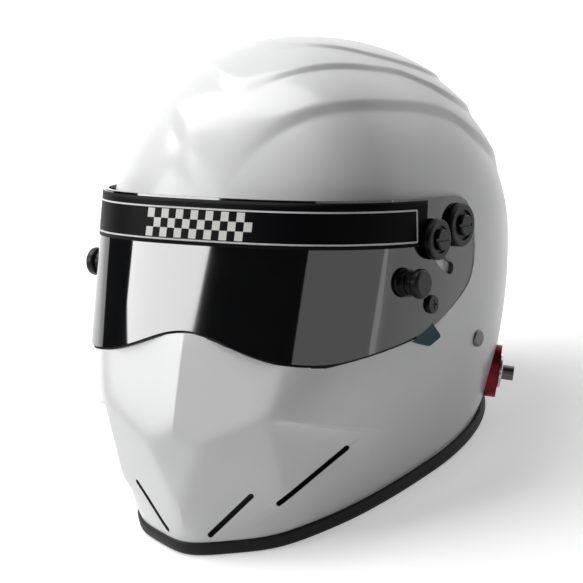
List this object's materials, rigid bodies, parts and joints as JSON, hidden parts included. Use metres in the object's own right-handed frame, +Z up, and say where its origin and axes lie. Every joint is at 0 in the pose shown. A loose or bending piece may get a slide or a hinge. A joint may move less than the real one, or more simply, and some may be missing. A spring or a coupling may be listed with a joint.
{
  "type": "full-face auto racing helmet",
  "caption": "Full-face racing helmet: glossy stepped shell with faceted slotted chin bar, dark side-pivoted shield with top strip, padded foam liner, strap with rings and restraint posts.",
  "frame": {"origin": "middle of the footprint, on the level that the base trim stands on", "axes": "+X towards the wearer's left, -Y towards the front, +Z up, with the helmet standing on its base trim"},
  "size_m": [0.269, 0.3412, 0.2796],
  "materials": {
    "shell_paint": "glossy white paint over a composite shell",
    "shield_tint": "glossy dark smoke polycarbonate",
    "strip_film": "satin black film",
    "black_plastic": "fine matte moulding",
    "tab_plastic": "dark blue-green moulding",
    "trim_rubber": "matte extruded rubber",
    "anodised_red": "dark red anodised",
    "bright_steel": "turned steel",
    "screen_mesh": "fine black screen",
    "strap_webbing": "black woven webbing",
    "liner_foam": "dark grey bead foam",
    "pad_fabric": "black knitted lining over soft foam"
  },
  "bodies": {
    "helmet": {"outer_shell": "shell_paint", "base_trim": "trim_rubber", "eyeport_seal": "trim_rubber", "brow_seal": "trim_rubber", "shield_pivot_screws": "black_plastic", "shield_detent_screws": "black_plastic", "pivot_washers": "black_plastic", "screw_nuts": "bright_steel", "front_vent_screens": "screen_mesh", "side_vent_screens": "screen_mesh", "restraint_anchor_bases": "anodised_red", "restraint_washers": "bright_steel", "restraint_posts": "bright_steel", "strap_rivets": "bright_steel", "strap_anchor_plates": "bright_steel", "chin_strap_left": "strap_webbing", "chin_strap_right": "strap_webbing", "impact_liner": "liner_foam", "chin_bar_foam": "liner_foam", "crown_pad": "pad_fabric", "brow_pad": "pad_fabric", "cheek_pad_left": "pad_fabric", "cheek_pad_right": "pad_fabric", "neck_roll": "pad_fabric"},
    "shield": {"shield_lens": "shield_tint", "sun_strip": "strip_film", "tearoff_posts": "black_plastic", "post_screws": "bright_steel", "snap_buttons": "black_plastic", "lift_tab": "tab_plastic"},
    "ring_inner": {"d_ring_inner": "bright_steel"},
    "ring_outer": {"d_ring_outer": "bright_steel"}
  },
  "joints": [
    {"name": "shield_pivot", "type": "hinge", "parent": "helmet", "child": "shield", "pos_m": [0, 0.01446, 0.16245], "axis": [-1, 0, 0], "range_deg": [0, 30]},
    {"name": "ring_inner_swing", "type": "hinge", "parent": "helmet", "child": "ring_inner", "pos_m": [0.0082, 0.00482, 0.0287], "axis": [0, 0.9483, -0.3173], "range_deg": [0, 55]},
    {"name": "ring_outer_swing", "type": "hinge", "parent": "helmet", "child": "ring_outer", "pos_m": [0.0118, 0.00482, 0.0287], "axis": [0, 0.9483, -0.3173], "range_deg": [-55, 0]}
  ]
}
